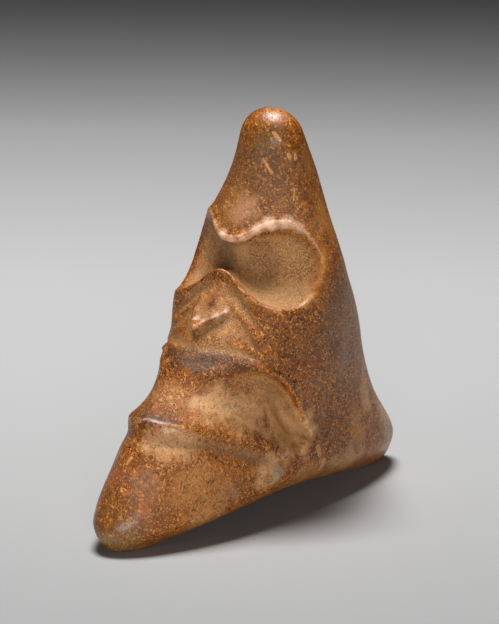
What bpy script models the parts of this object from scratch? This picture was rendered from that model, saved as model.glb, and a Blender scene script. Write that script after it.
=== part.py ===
"""Three-pointed stone: one carved piece of limestone.

A blunt cone rises from a long base that comes to a point at each end, and a spirit
face is cut into the front slope: two round sockets under an arched brow, a
spade-shaped nose, a fold from each nostril to the mouth, and a wide mouth scooped
round the front.  The underside is a shallow arch, so the stone stands on a flat
foot at each end.

Lengths in the form are millimetres, angles are degrees, +Z is up and the face looks
to -Y.  The finished stone stands with the middle of its bounding box over the origin.
"""

import bmesh
import bpy
import numpy as np

MM = 0.001
NAME = "three_pointed_stone"

# Ovals of the stone before it is carved, from the floor up.  Each has its height,
# the Y of its front end and of its back end, its half width and the Y where it is widest.
HEIGHT, FRONT, BACK, HALF, WIDEST = range(5)
SECTIONS = (
    (0.0, -91.5, 100.5, 14.5, -9.0),  # floor
    (9.0, -101.5, 105.0, 28.5, -9.0),  # the two points
    (20.0, -98.5, 101.5, 31.5, -8.0),
    (33.0, -86.5, 89.0, 31.5, -5.5),  # chin
    (47.0, -78.0, 81.0, 30.5, -2.0),
    (59.0, -72.5, 75.0, 31.5, 1.0),  # lower lip
    (70.0, -60.5, 70.5, 33.0, 4.5),
    (80.5, -46.5, 67.0, 33.5, 7.0),  # upper lip
    (97.5, -34.0, 55.0, 37.0, 9.5),  # nose
    (116.0, -20.0, 42.5, 37.0, 11.5),  # bridge
    (126.0, -13.5, 39.5, 32.0, 13.0),  # brow
    (137.0, -8.5, 40.0, 25.5, 14.5),  # forehead
    (155.0, 0.0, 36.5, 18.0, 17.5),
    (170.0, 4.0, 27.5, 15.0, 17.0),  # cone
    (184.0, 6.0, 24.0, 11.0, 17.0),
)
FAIRING = (-7.5, -2.5, 2.5, 7.5)  # the sides are averaged over these heights
TOP = 180.7
TOP_ROUNDING = 12.0
SLANT = 0.82  # the sides lean, so distance to them is shorter than measured level
LEAN = 1.2  # degrees the whole form leans forward, so that both of its ends meet the floor
FLOOR = 1.2  # height at which the floor meets the form, half-way along

ARCH_RISE = 11.6  # underside over the lowest oval, half-way along
ARCH_MIDDLE = -4.0
ARCH_HALF_LENGTH = 91.0
ARCH_DROP = 2.2  # how far the arch goes on down past the lowest oval at its ends
BASE_ROUNDING = 14.5
FOOT_SINK = 0.5  # the ends go on this far below the floor and are cut off level with it
FOOT_ROUNDING = 2.0

# Lip lines: degrees round from straight ahead, and height.
UPPER_LIP = ((0, 80.0), (30, 78.0), (53, 72.0), (71, 63.0), (85, 53.0), (97, 43.0), (120, 26.0))
LOWER_LIP = ((0, 57.9), (19, 53.5), (39, 44.2), (68, 35.4), (85, 33.2), (96, 34.9), (120, 39.8))
LIPS_LEAST_GAP = 1.3
MOUTH_DEPTH = (6.4, 8.6)  # at the front and at the sides
MOUTH_LEAN = (0.5, -0.5)  # 0 is deepest half-way between the lips, 1 low down, -1 high up
MOUTH_TURNS = (14.0, 48.0)  # the front of the scoop passes into its sides here
MOUTH_END = 103.0
MOUTH_END_BLEND = 26.0
LIP_EDGE = 0.5

# Bands along a lip line: how far they stand out or sink, height over the line, half width.
LIP_BEAD = (0.55, 1.3, 1.6)
LIP_BEAD_STARTS = (15.0, 45.0)
LIP_BEAD_ENDS = (108.0, 88.0)
LIP_CREASE = (1.1, 3.7, 1.7)
LIP_CREASE_ENDS = (70.0, 40.0)
CHIN_HOLLOW = (1.8, -7.2, 4.4)
CHIN_HOLLOW_ENDS = (80.0, 40.0)
MUZZLE_FLARE = (1.4, 0.2, 2.4)

WING = (10.5, -23.5, 98.8)  # outer end of the nose's lower rim
NOSE_TIP = (0.0, -39.2, 92.6)
BRIDGE = (3.5, -19.2, 114.0)
BRIDGE_TOP = 2.7  # the nose runs on this far into the saddle
NOSE_HALF = 9.7
NOSE_WIDENING = 14.6  # height below the bridge over which the nose widens
NOSE_LEAN = 0.22
NOSE_HOLLOW = 1.8
NOSE_ROOT = -6.0
RIM_CURL = 2.8
RIM_THICKNESS = 2.4
RIM_UNDERCUT = 0.8
NOSE_ROUNDING = 1.3
NOSE_SIDE_ROUNDING = 1.8

CHEEK_Y = -21.0  # flat of the face beside the nose, at the level of the wings
CHEEK_LEAN = 0.08
CHEEK_ROUNDING = (1.8, 5.3)
CHEEK_CORNER = (13.0, 24.0)
MUZZLE_Y = -27.3  # ridge of the muzzle at the level of the wings
MUZZLE_LEAN = 0.858
MUZZLE_SPREAD = 0.785
MUZZLE_RIDGE = 4.4
MUZZLE_ROUNDING = 2.2
MUZZLE_REACH = 1.0  # the muzzle's slope runs on this far below the line of the upper lip
MUZZLE_UNDER_LIP = 1.2
FACE_SLANT = 0.85
FOLD = ((8.4, -21.2, 98.6), (22.5, -20.8, 86.5), (25.0, -9.0, 77.0))
FOLD_RADII = (3.0, 2.8, 1.0)
FOLD_KNEE = 2.0
FOLD_FILLET = 2.4

SOCKET_CENTRE = (25.6, -5.6, 116.3)  # middle of the right socket's rim
SOCKET_FACING = (0.56, -0.78, 0.28)
SOCKET_RADII = (21.6, 18.7, 13.5)
SOCKET_LIFT = 4.5
SADDLE = ((0.0, -15.5, 119.3), (14.2, -12.0, 117.0))  # pass between the sockets
SADDLE_RADII = (5.4, 9.4)
SADDLE_EASE = 3.0
SADDLE_FILLET = 8.0
BROW_RIM = (1.15, 1.5, 1.7)  # how far it stands out, distance from the socket, half width
BROW_HEIGHTS = (117.7, 126.5)
BROW_ENDS = (35.0, 18.0)
SOCKET_EDGE = 1.8

MIDDLE_EASE = 0.14  # rounds the ridge where the two mirrored sides meet
CORE = (0.0, 8.0, 60.0)  # inside every section; the first surface is thrown from here
REACH = 220.0
GRID_CUTS = 83
PASSES = 50  # times the points are evened out and drawn onto the form
CARVING_PASSES = 30  # the form goes from uncarved to carved over the first of them
TRIANGLES = 9400


def along(at, knots, column=1):
    """Value at each place of a curve through the knots that never overshoots them."""
    place = np.array([knot[0] for knot in knots], float)
    value = np.array([knot[column] for knot in knots], float)
    step = np.diff(place)
    rise = np.diff(value) / step
    slope = np.concatenate([rise[:1], np.zeros(len(rise) - 1), rise[-1:]])
    for i in range(1, len(rise)):
        if rise[i - 1] * rise[i] > 0:
            slope[i] = 2 / (1 / rise[i - 1] + 1 / rise[i])
    i = np.clip(np.searchsorted(place, at) - 1, 0, len(step) - 1)
    t = np.clip((at - place[i]) / step[i], 0, 1)
    start = (1 + 2 * t) * (1 - t) ** 2 * value[i] + t * (1 - t) ** 2 * step[i] * slope[i]
    end = t * t * (3 - 2 * t) * value[i + 1] + t * t * (t - 1) * step[i] * slope[i + 1]
    return start + end


def join(a, b, rounding):
    """Union of two fields with a fillet."""
    h = np.clip(0.5 + 0.5 * (b - a) / rounding, 0, 1)
    return b + (a - b) * h - rounding * h * (1 - h)


def meet(a, b, rounding):
    """Intersection of two fields with a rounded edge."""
    return -join(-a, -b, rounding)


def ramp(value, start, end):
    """0 at start, 1 at end, straight between and level beyond."""
    return np.clip((value - start) / (end - start), 0, 1)


def between(pair, share):
    return pair[0] + (pair[1] - pair[0]) * share


def band(value, shape):
    """Bell-shaped swelling: its size, where its middle is and its half width."""
    size, middle, width = shape
    return size * np.exp(-(((value - middle) / width) ** 2))


def rod(p, start, end, radius_start, radius_end):
    """Distance to a rod with round ends."""
    start = np.array(start)
    axis = np.array(end) - start
    t = np.clip((p - start) @ axis / (axis @ axis), 0, 1)
    gap = np.linalg.norm(p - start - t[..., None] * axis, axis=-1)
    return gap - radius_start - (radius_end - radius_start) * t


def round_from_front(p):
    """Degrees round the stone from straight ahead, 0 at the nose and 90 at the side."""
    return np.degrees(np.arctan2(p[..., 0], -p[..., 1]))


def block(p):
    """The stone before it is carved."""
    x, y, z = p[..., 0], p[..., 1], p[..., 2]
    front, back, half, widest = (
        sum(along(z + rise, SECTIONS, c) for rise in FAIRING) / len(FAIRING)
        for c in (FRONT, BACK, HALF, WIDEST)
    )
    ahead = y - widest
    reach = np.where(ahead < 0, widest - front, back - widest)
    share = np.hypot(x / half, ahead / reach) + 1e-9
    stone = SLANT * np.hypot(x, ahead) * (1 - 1 / share)
    stone = meet(stone, z - TOP, TOP_ROUNDING)
    arch = (ARCH_RISE + ARCH_DROP) * (1 - ((y - ARCH_MIDDLE) / ARCH_HALF_LENGTH) ** 2) - ARCH_DROP
    return meet(stone, arch - z, BASE_ROUNDING)


def cut_mouth(p, stone):
    """Scoops the mouth between the lip lines and works the lips."""
    z = p[..., 2]
    turn = round_from_front(p)
    upper = along(turn, UPPER_LIP)
    lower = along(turn, LOWER_LIP)
    fade = ramp(MOUTH_END - turn, 0, MOUTH_END_BLEND)
    fade = fade * (2 - fade)
    side = ramp(turn, *MOUTH_TURNS)
    share = (z - lower) / np.maximum(upper - lower, LIPS_LEAST_GAP)
    inside = np.clip(share, 0, 1)
    bow = share + between(MOUTH_LEAN, side) * inside * (1 - inside)
    cut = 4 * between(MOUTH_DEPTH, side) * fade * bow * (1 - bow)
    stone = stone + 0.5 * (cut + np.hypot(cut, LIP_EDGE)) * ramp(fade, 0, 0.2)
    bead = band(z - upper, LIP_BEAD) * ramp(turn, *LIP_BEAD_STARTS) * ramp(turn, *LIP_BEAD_ENDS)
    stone = stone - bead
    stone = stone + band(z - upper, LIP_CREASE) * ramp(turn, *LIP_CREASE_ENDS)
    return stone + band(z - lower, CHIN_HOLLOW) * ramp(turn, *CHIN_HOLLOW_ENDS)


def cut_face(p, stone):
    """Flattens the cheeks, slopes the muzzle and adds the folds and the nose."""
    x, y, z = p[..., 0], p[..., 1], p[..., 2]
    upper = along(round_from_front(p), UPPER_LIP)
    over_wing = z - WING[2]
    cheek = CHEEK_Y + CHEEK_LEAN * over_wing
    out = np.hypot(x, MUZZLE_RIDGE) - MUZZLE_RIDGE
    muzzle = MUZZLE_Y + MUZZLE_SPREAD * out + MUZZLE_LEAN * over_wing
    muzzle = muzzle - band(z - upper, MUZZLE_FLARE) + band(z - upper, LIP_CREASE)
    below = upper - MUZZLE_REACH - z
    muzzle = muzzle - below - np.hypot(below, MUZZLE_UNDER_LIP)
    face = join(cheek, muzzle, MUZZLE_ROUNDING)
    corner = between(CHEEK_ROUNDING, ramp(x, *CHEEK_CORNER))
    stone = meet(stone, FACE_SLANT * (face - y), corner)
    upper_fold = rod(p, FOLD[0], FOLD[1], *FOLD_RADII[:2])
    lower_fold = rod(p, FOLD[1], FOLD[2], *FOLD_RADII[1:])
    stone = join(stone, join(upper_fold, lower_fold, FOLD_KNEE), FOLD_FILLET)
    return join(stone, nose(p), NOSE_ROUNDING)


def nose(p):
    """Spade-shaped nose: a steep front that curls out to a rim from wing to tip."""
    x, y, z = p[..., 0], p[..., 1], p[..., 2]
    out = (np.hypot(x, NOSE_ROUNDING) - NOSE_ROUNDING) / WING[0]
    rim_y = NOSE_TIP[1] + (WING[1] - NOSE_TIP[1]) * out
    rim_z = NOSE_TIP[2] + (WING[2] - NOSE_TIP[2]) * out
    below_bridge = BRIDGE[2] - z
    half = between((BRIDGE[0], NOSE_HALF), ramp(below_bridge, 0, NOSE_WIDENING))
    steep = BRIDGE[1] - NOSE_LEAN * below_bridge + NOSE_HOLLOW * (x / half) ** 2
    front = steep - (steep - rim_y) * np.exp(-np.maximum(z - rim_z, 0) / RIM_CURL)
    under = rim_z - RIM_THICKNESS - z - RIM_UNDERCUT * (y - rim_y)
    shape = meet(0.5 * (front - y), under / np.hypot(1, RIM_UNDERCUT), NOSE_ROUNDING)
    shape = meet(shape, FACE_SLANT * (x - half), NOSE_SIDE_ROUNDING)
    shape = meet(shape, -below_bridge - BRIDGE_TOP, NOSE_SIDE_ROUNDING)
    return meet(shape, y - NOSE_ROOT, NOSE_SIDE_ROUNDING)


def cut_sockets(p, stone):
    """Sinks an eye socket each side, runs them together over the bridge, raises the brow."""
    facing = np.array(SOCKET_FACING)
    facing = facing / np.linalg.norm(facing)
    level = np.cross((0.0, 0.0, 1.0), facing)
    level = level / np.linalg.norm(level)
    axes = np.array([level, np.cross(facing, level), facing])
    q = (p - np.array(SOCKET_CENTRE) - SOCKET_LIFT * facing) @ axes.T
    radii = np.array(SOCKET_RADII)
    share = np.linalg.norm(q / radii, axis=-1)
    socket = share * (share - 1) / (np.linalg.norm(q / radii**2, axis=-1) + 1e-9)
    eased = np.stack([np.hypot(p[..., 0], SADDLE_EASE), p[..., 1], p[..., 2]], -1)
    socket = join(socket, rod(eased, *SADDLE, *SADDLE_RADII), SADDLE_FILLET)
    over_eye = ramp(p[..., 2], *BROW_HEIGHTS) * ramp(p[..., 0], *BROW_ENDS)
    stone = stone - band(socket, BROW_RIM) * over_eye
    return meet(stone, -socket, SOCKET_EDGE)


def form(p, carved_share=1.0):
    """Field of the stone as it stands, negative inside; both sides are the same.

    At a carved share of 0 it is the block, and in between it is carved part of the way.
    """
    x, y, z = np.hypot(p[..., 0], MIDDLE_EASE), p[..., 1], p[..., 2] + FLOOR
    sine, cosine = np.sin(np.radians(LEAN)), np.cos(np.radians(LEAN))
    q = np.stack([x, y * cosine + z * sine, z * cosine - y * sine], -1)
    whole = block(q)
    carved = cut_sockets(q, cut_face(q, cut_mouth(q, whole)))
    stone = between((whole, carved), carved_share)
    return meet(stone, -p[..., 2] - FOOT_SINK, FOOT_ROUNDING)


def slope_of(p, carved_share, step=0.05):
    """Gradient of the form."""
    parts = []
    for axis in np.eye(3) * step:
        rise = form(p + axis, carved_share) - form(p - axis, carved_share)
        parts.append(rise / (2 * step))
    return np.stack(parts, -1)


def thrown_from_core(directions):
    """Where rays from the core leave the uncarved stone."""
    near = np.zeros(len(directions))
    far = np.full(len(directions), REACH)
    for _ in range(24):
        middle = (near + far) / 2
        inside = form(np.array(CORE) + directions * middle[:, None], 0.0) < 0
        near = np.where(inside, middle, near)
        far = np.where(inside, far, middle)
    return np.array(CORE) + directions * near[:, None]


def settle(points, edges):
    """Draws the points onto the form as it is carved, and evens their spacing along it."""
    count = np.bincount(edges.ravel(), minlength=len(points)).astype(float)
    for done in range(PASSES):
        carved_share = ramp(done, 0, CARVING_PASSES)
        total = np.zeros_like(points)
        np.add.at(total, edges[:, 0], points[edges[:, 1]])
        np.add.at(total, edges[:, 1], points[edges[:, 0]])
        slope = slope_of(points, carved_share)
        steep = np.linalg.norm(slope, axis=1, keepdims=True) + 1e-9
        normal = slope / steep
        pull = total / count[:, None] - points
        points = points + 0.5 * (pull - normal * np.sum(pull * normal, axis=1, keepdims=True))
        move = form(points, carved_share)[:, None] / steep
        points = points - normal * np.clip(move, -2.0, 2.0)
    return points


def carved_mesh():
    """Fine closed mesh of the carved stone."""
    shape = bmesh.new()
    bmesh.ops.create_cube(shape, size=2.0)
    bmesh.ops.subdivide_edges(shape, edges=shape.edges[:], cuts=GRID_CUTS, use_grid_fill=True)
    shape.verts.ensure_lookup_table()
    shape.verts.index_update()
    points = np.array([v.co[:] for v in shape.verts])
    edges = np.array([[v.index for v in e.verts] for e in shape.edges])
    points = np.tan(points * np.pi / 4)
    points = points / np.linalg.norm(points, axis=1, keepdims=True)
    points = settle(thrown_from_core(points), edges)
    for vert, place in zip(shape.verts, points * MM):
        vert.co = place
    mesh = bpy.data.meshes.new(NAME + "_fine")
    shape.to_mesh(mesh)
    shape.free()
    return mesh


def thinned(mesh):
    """The same mesh with its triangles kept where the form turns."""
    helper = bpy.data.objects.new(NAME + "_fine", mesh)
    bpy.context.collection.objects.link(helper)
    thin = helper.modifiers.new("thin", "DECIMATE")
    thin.ratio = TRIANGLES / (2 * len(mesh.polygons))
    thin.use_symmetry = True
    thin.symmetry_axis = "X"
    bpy.context.view_layer.update()
    result = bmesh.new()
    result.from_object(helper, bpy.context.evaluated_depsgraph_get())
    bpy.data.objects.remove(helper, do_unlink=True)
    return result


def set_on_feet(shape):
    """Cuts the underside off level with the floor, which leaves a flat foot at each end."""
    parts = shape.verts[:] + shape.edges[:] + shape.faces[:]
    cut = bmesh.ops.bisect_plane(
        shape, geom=parts, dist=1e-6, plane_co=(0, 0, 0), plane_no=(0, 0, -1), clear_outer=True
    )
    rim = [part for part in cut["geom_cut"] if isinstance(part, bmesh.types.BMEdge)]
    bmesh.ops.holes_fill(shape, edges=rim)
    for vert in shape.verts:
        if abs(vert.co.z) < 1e-5:
            vert.co.z = 0.0
    bmesh.ops.recalc_face_normals(shape, faces=shape.faces[:])


def centre_over_origin(shape):
    """Moves the stone along the floor until its bounding box stands round the origin."""
    for axis in (0, 1):
        places = [vert.co[axis] for vert in shape.verts]
        middle = (min(places) + max(places)) / 2
        for vert in shape.verts:
            vert.co[axis] -= middle


def limestone():
    material = bpy.data.materials.new("limestone")
    material.use_nodes = True
    shader = material.node_tree.nodes["Principled BSDF"]
    shader.inputs["Base Color"].default_value = (0.42, 0.19, 0.07, 1.0)
    shader.inputs["Roughness"].default_value = 0.45
    return material


def build():
    for item in list(bpy.data.objects):
        bpy.data.objects.remove(item, do_unlink=True)
    shape = thinned(carved_mesh())
    set_on_feet(shape)
    centre_over_origin(shape)
    mesh = bpy.data.meshes.new(NAME)
    shape.to_mesh(mesh)
    shape.free()
    mesh.materials.append(limestone())
    for face in mesh.polygons:
        face.use_smooth = True
    stone = bpy.data.objects.new(NAME, mesh)
    bpy.context.collection.objects.link(stone)


if __name__ == "__main__":
    build()
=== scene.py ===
"""Looks of the three-pointed stone: one carved and polished block of shelly limestone.

The stone's mesh is the form of its solid drawn again at a fine grain, with the pits,
worn edges and unevenness of ground stone.  One material carries the rock: its browns,
stains, shell grit, larger fossils and polish, and also painted highlights and painted
shade.  Lengths in the form are millimetres.
"""

import logging
import math
from dataclasses import dataclass, field
from enum import Enum

import bmesh
import bpy
import numpy as np
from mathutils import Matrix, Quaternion, Vector, noise
from mathutils.bvhtree import BVHTree


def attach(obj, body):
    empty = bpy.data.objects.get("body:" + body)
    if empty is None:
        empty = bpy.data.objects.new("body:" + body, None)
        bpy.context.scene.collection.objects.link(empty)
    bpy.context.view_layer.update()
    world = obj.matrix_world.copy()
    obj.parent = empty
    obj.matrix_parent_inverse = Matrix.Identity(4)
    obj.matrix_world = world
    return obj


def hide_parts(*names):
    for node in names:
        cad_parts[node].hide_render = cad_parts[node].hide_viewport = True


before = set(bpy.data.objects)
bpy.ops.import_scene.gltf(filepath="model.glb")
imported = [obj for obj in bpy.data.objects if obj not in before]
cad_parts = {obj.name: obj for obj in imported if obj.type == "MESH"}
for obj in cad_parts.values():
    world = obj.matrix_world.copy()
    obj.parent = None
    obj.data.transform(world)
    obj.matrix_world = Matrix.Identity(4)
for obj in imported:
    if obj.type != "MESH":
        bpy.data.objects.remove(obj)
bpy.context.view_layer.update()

MM = 0.001
NODE = "three_pointed_stone"
LOG = logging.getLogger("three_pointed_stone")

Number = float | np.ndarray
Point = tuple[float, float, float]
Colour = tuple[float, float, float]
Knots = tuple[tuple[float, ...], ...]


def along(at: np.ndarray, knots: Knots, column: int = 1) -> np.ndarray:
    """Curve through the knots that never overshoots them.

    Args:
        at: Places to read the curve at.
        knots: Rows that start with a place.
        column: Which value of each row the curve goes through.

    Returns:
        The curve's value at each place.
    """
    place = np.array([knot[0] for knot in knots], float)
    value = np.array([knot[column] for knot in knots], float)
    step = np.diff(place)
    rise = np.diff(value) / step
    slope = np.concatenate([rise[:1], np.zeros(len(rise) - 1), rise[-1:]])
    for i in range(1, len(rise)):
        if rise[i - 1] * rise[i] > 0:
            slope[i] = 2 / (1 / rise[i - 1] + 1 / rise[i])
    i = np.clip(np.searchsorted(place, at) - 1, 0, len(step) - 1)
    t = np.clip((at - place[i]) / step[i], 0, 1)
    start = (1 + 2 * t) * (1 - t) ** 2 * value[i] + t * (1 - t) ** 2 * step[i] * slope[i]
    end = t * t * (3 - 2 * t) * value[i + 1] + t * t * (t - 1) * step[i] * slope[i + 1]
    return start + end


def join(a: Number, b: Number, rounding: float) -> np.ndarray:
    """Union of two fields with a fillet."""
    h = np.clip(0.5 + 0.5 * (b - a) / rounding, 0, 1)
    return b + (a - b) * h - rounding * h * (1 - h)


def meet(a: Number, b: Number, rounding: Number) -> np.ndarray:
    """Intersection of two fields with a rounded edge."""
    return -join(-a, -b, rounding)


def ramp(value: Number, start: float, end: float) -> np.ndarray:
    """0 at start, 1 at end, straight between and level beyond."""
    return np.clip((value - start) / (end - start), 0, 1)


def between(pair: tuple[float, float], share: Number) -> Number:
    """Value that lies the share of the way from the pair's first to its second."""
    return pair[0] + (pair[1] - pair[0]) * share


def band(value: np.ndarray, shape: Point) -> np.ndarray:
    """Bell-shaped swelling: its size, where its middle is and its half width."""
    size, middle, width = shape
    return size * np.exp(-(((value - middle) / width) ** 2))


def rod(p: np.ndarray, start: Point, end: Point, first: float, last: float) -> np.ndarray:
    """Distance to a rod with round ends and a radius at each."""
    origin = np.array(start)
    axis = np.array(end) - origin
    t = np.clip((p - origin) @ axis / (axis @ axis), 0, 1)
    gap = np.linalg.norm(p - origin - t[..., None] * axis, axis=-1)
    return gap - first - (last - first) * t


def round_from_front(p: np.ndarray) -> np.ndarray:
    """Degrees round the stone from straight ahead, 0 at the nose and 90 at the side."""
    return np.degrees(np.arctan2(p[..., 0], -p[..., 1]))


@dataclass(frozen=True)
class Block:
    """The stone before it is carved: fair ovals, a round top and an arched underside.

    Each section has its height, the Y of its front and back ends, its half width and
    the Y where it is widest.
    """

    sections: Knots = (
        (0.0, -91.5, 100.5, 14.5, -9.0),
        (9.0, -101.5, 105.0, 28.5, -9.0),
        (20.0, -98.5, 101.5, 31.5, -8.0),
        (33.0, -86.5, 89.0, 31.5, -5.5),
        (47.0, -78.0, 81.0, 30.5, -2.0),
        (59.0, -72.5, 75.0, 31.5, 1.0),
        (70.0, -60.5, 70.5, 33.0, 4.5),
        (80.5, -46.5, 67.0, 33.5, 7.0),
        (97.5, -34.0, 55.0, 37.0, 9.5),
        (116.0, -20.0, 42.5, 37.0, 11.5),
        (126.0, -13.5, 39.5, 32.0, 13.0),
        (137.0, -8.5, 40.0, 25.5, 14.5),
        (155.0, 0.0, 36.5, 18.0, 17.5),
        (170.0, 4.0, 27.5, 15.0, 17.0),
        (184.0, 6.0, 24.0, 11.0, 17.0),
    )
    fairing: tuple[float, ...] = (-7.5, -2.5, 2.5, 7.5)
    top: float = 180.7
    top_rounding: float = 12.0
    slant: float = 0.82
    arch_rise: float = 11.6
    arch_middle: float = -4.0
    arch_half_length: float = 91.0
    arch_drop: float = 2.2
    base_rounding: float = 14.5

    def field(self, p: np.ndarray) -> np.ndarray:
        """Field of the block, negative inside."""
        x, y, z = p[..., 0], p[..., 1], p[..., 2]
        front, back, half, widest = (
            sum(along(z + rise, self.sections, c) for rise in self.fairing) / len(self.fairing)
            for c in (1, 2, 3, 4)
        )
        ahead = y - widest
        reach = np.where(ahead < 0, widest - front, back - widest)
        share = np.hypot(x / half, ahead / reach) + 1e-9
        stone = self.slant * np.hypot(x, ahead) * (1 - 1 / share)
        stone = meet(stone, z - self.top, self.top_rounding)
        fall = ((y - self.arch_middle) / self.arch_half_length) ** 2
        arch = (self.arch_rise + self.arch_drop) * (1 - fall) - self.arch_drop
        return meet(stone, arch - z, self.base_rounding)


@dataclass(frozen=True)
class Mouth:
    """The wide mouth scooped round the front, with its two lips.

    A lip line gives degrees round from straight ahead, and height.  A band along a lip
    line gives how far it stands out or sinks, its height over the line and its half width.
    """

    upper_lip: Knots = (
        (0, 80.0), (30, 78.0), (53, 72.0), (71, 63.0), (85, 53.0), (97, 43.0), (120, 26.0)
    )
    lower_lip: Knots = (
        (0, 57.9), (19, 53.5), (39, 44.2), (68, 35.4), (85, 33.2), (96, 34.9), (120, 39.8)
    )
    least_gap: float = 1.3
    depth: tuple[float, float] = (6.4, 8.6)
    lean: tuple[float, float] = (0.5, -0.5)
    turns: tuple[float, float] = (14.0, 48.0)
    end: float = 103.0
    end_blend: float = 26.0
    lip_edge: float = 0.5
    bead: Point = (0.55, 1.3, 1.6)
    bead_starts: tuple[float, float] = (15.0, 45.0)
    bead_ends: tuple[float, float] = (108.0, 88.0)
    crease: Point = (1.1, 3.7, 1.7)
    crease_ends: tuple[float, float] = (70.0, 40.0)
    chin_hollow: Point = (1.8, -7.2, 4.4)
    chin_hollow_ends: tuple[float, float] = (80.0, 40.0)

    def over_upper_lip(self, p: np.ndarray) -> np.ndarray:
        """Height over the line of the upper lip."""
        return p[..., 2] - along(round_from_front(p), self.upper_lip)

    def cut(self, p: np.ndarray, stone: np.ndarray) -> np.ndarray:
        """Scoops the mouth between the lip lines and works the lips."""
        z = p[..., 2]
        turn = round_from_front(p)
        upper = along(turn, self.upper_lip)
        lower = along(turn, self.lower_lip)
        fade = ramp(self.end - turn, 0, self.end_blend)
        fade = fade * (2 - fade)
        side = ramp(turn, *self.turns)
        share = (z - lower) / np.maximum(upper - lower, self.least_gap)
        inside = np.clip(share, 0, 1)
        bow = share + between(self.lean, side) * inside * (1 - inside)
        cut = 4 * between(self.depth, side) * fade * bow * (1 - bow)
        stone = stone + 0.5 * (cut + np.hypot(cut, self.lip_edge)) * ramp(fade, 0, 0.2)
        bead = band(z - upper, self.bead) * ramp(turn, *self.bead_starts)
        stone = stone - bead * ramp(turn, *self.bead_ends)
        stone = stone + band(z - upper, self.crease) * ramp(turn, *self.crease_ends)
        return stone + band(z - lower, self.chin_hollow) * ramp(turn, *self.chin_hollow_ends)


@dataclass(frozen=True)
class Nose:
    """Spade-shaped nose: a steep front that curls out to a rim from wing to tip."""

    wing: Point = (10.5, -23.5, 98.8)
    tip: Point = (0.0, -39.2, 92.6)
    bridge: Point = (3.5, -19.2, 114.0)
    bridge_top: float = 2.7
    half: float = 9.7
    widening: float = 14.6
    lean: float = 0.22
    hollow: float = 1.8
    root: float = -6.0
    rim_curl: float = 2.8
    rim_thickness: float = 2.4
    rim_undercut: float = 0.8
    rounding: float = 1.3
    side_rounding: float = 1.8
    slant: float = 0.85

    def field(self, p: np.ndarray) -> np.ndarray:
        """Field of the nose, negative inside."""
        x, y, z = p[..., 0], p[..., 1], p[..., 2]
        out = (np.hypot(x, self.rounding) - self.rounding) / self.wing[0]
        rim_y = self.tip[1] + (self.wing[1] - self.tip[1]) * out
        rim_z = self.tip[2] + (self.wing[2] - self.tip[2]) * out
        below = self.bridge[2] - z
        half = between((self.bridge[0], self.half), ramp(below, 0, self.widening))
        steep = self.bridge[1] - self.lean * below + self.hollow * (x / half) ** 2
        front = steep - (steep - rim_y) * np.exp(-np.maximum(z - rim_z, 0) / self.rim_curl)
        under = rim_z - self.rim_thickness - z - self.rim_undercut * (y - rim_y)
        shape = meet(0.5 * (front - y), under / np.hypot(1, self.rim_undercut), self.rounding)
        shape = meet(shape, self.slant * (x - half), self.side_rounding)
        shape = meet(shape, -below - self.bridge_top, self.side_rounding)
        return meet(shape, y - self.root, self.side_rounding)


@dataclass(frozen=True)
class Face:
    """Flat cheeks, the sloping muzzle over the mouth, and the folds beside the nose."""

    mouth: Mouth = field(default_factory=Mouth)
    nose: Nose = field(default_factory=Nose)
    cheek_y: float = -21.0
    cheek_lean: float = 0.08
    cheek_rounding: tuple[float, float] = (1.8, 5.3)
    cheek_corner: tuple[float, float] = (13.0, 24.0)
    muzzle_y: float = -27.3
    muzzle_lean: float = 0.858
    muzzle_spread: float = 0.785
    muzzle_ridge: float = 4.4
    muzzle_rounding: float = 2.2
    muzzle_reach: float = 1.0
    muzzle_under_lip: float = 1.2
    muzzle_flare: Point = (1.4, 0.2, 2.4)
    slant: float = 0.85
    fold: tuple[Point, Point, Point] = (
        (8.4, -21.2, 98.6), (22.5, -20.8, 86.5), (25.0, -9.0, 77.0)
    )
    fold_radii: Point = (3.0, 2.8, 1.0)
    fold_knee: float = 2.0
    fold_fillet: float = 2.4

    def cut(self, p: np.ndarray, stone: np.ndarray) -> np.ndarray:
        """Flattens the cheeks, slopes the muzzle and adds the folds and the nose."""
        x, y, z = p[..., 0], p[..., 1], p[..., 2]
        over_lip = self.mouth.over_upper_lip(p)
        over_wing = z - self.nose.wing[2]
        cheek = self.cheek_y + self.cheek_lean * over_wing
        out = np.hypot(x, self.muzzle_ridge) - self.muzzle_ridge
        muzzle = self.muzzle_y + self.muzzle_spread * out + self.muzzle_lean * over_wing
        muzzle = muzzle - band(over_lip, self.muzzle_flare) + band(over_lip, self.mouth.crease)
        below = -over_lip - self.muzzle_reach
        muzzle = muzzle - below - np.hypot(below, self.muzzle_under_lip)
        front = join(cheek, muzzle, self.muzzle_rounding)
        corner = between(self.cheek_rounding, ramp(x, *self.cheek_corner))
        stone = meet(stone, self.slant * (front - y), corner)
        upper = rod(p, self.fold[0], self.fold[1], *self.fold_radii[:2])
        lower = rod(p, self.fold[1], self.fold[2], *self.fold_radii[1:])
        stone = join(stone, join(upper, lower, self.fold_knee), self.fold_fillet)
        return join(stone, self.nose.field(p), self.nose.rounding)


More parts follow.
